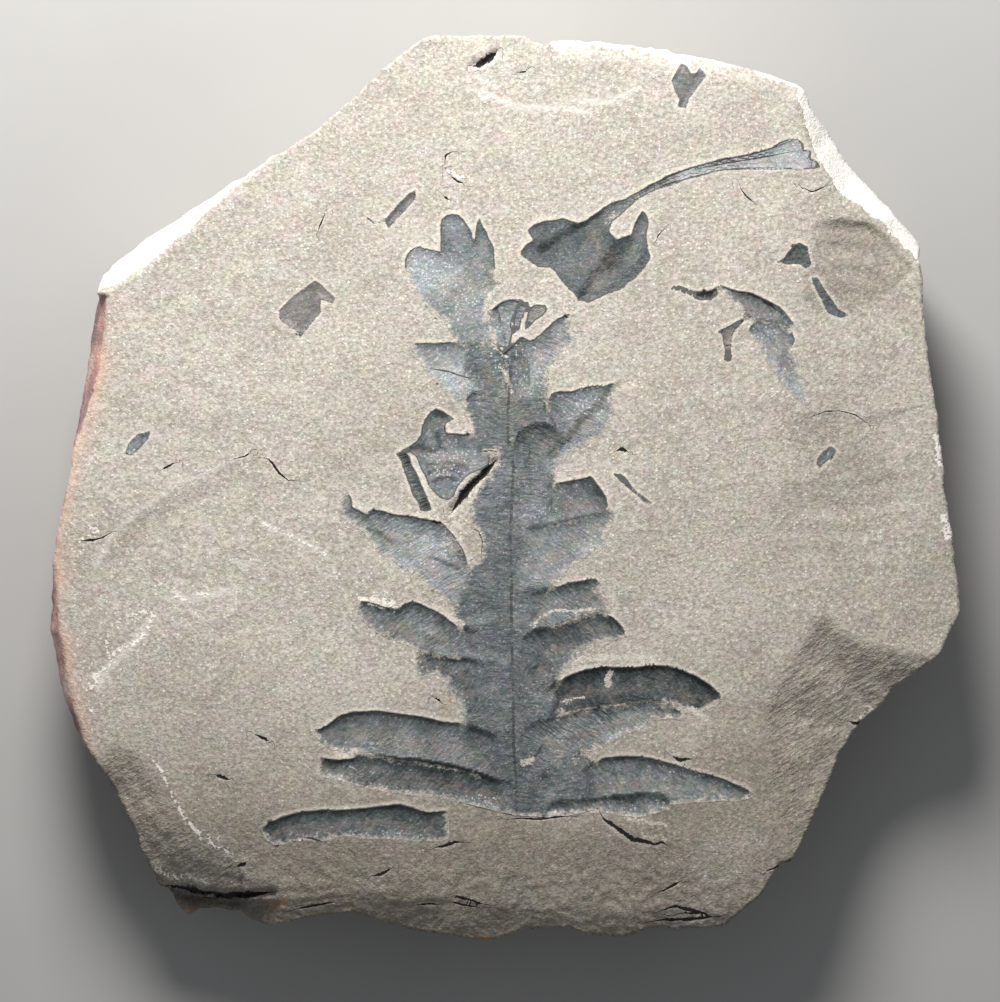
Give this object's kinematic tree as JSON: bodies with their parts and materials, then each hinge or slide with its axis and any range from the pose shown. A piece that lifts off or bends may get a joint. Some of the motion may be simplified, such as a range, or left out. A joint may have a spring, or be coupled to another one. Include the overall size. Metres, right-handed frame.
{
  "type": "fossil seed fern slab",
  "caption": "Fossil seed-fern frond pressed as a dark carbon film on a flat, broken slab of siltstone, with loose scraps of the same foliage around it.",
  "frame": {"origin": "centre of the slab's bounding box, on the plane it rests on", "axes": "+Z out of the leaf face, +Y towards the tip of the frond, +X to its right as seen from above"},
  "size_m": [0.114, 0.1138, 0.0183],
  "materials": {
    "siltstone": "matte",
    "carbon_film": "satin"
  },
  "bodies": {
    "root": {"matrix_slab": "siltstone", "main_frond": "carbon_film", "detached_pinnule": "carbon_film", "stalked_leaf": "carbon_film", "torn_leaf": "carbon_film", "top_scrap": "carbon_film", "triangle_scrap": "carbon_film", "strip_scrap": "carbon_film", "square_scrap": "carbon_film", "upper_left_chip": "carbon_film", "left_sliver": "carbon_film", "right_sliver": "carbon_film", "centre_sliver": "carbon_film"}
  },
  "joints": []
}
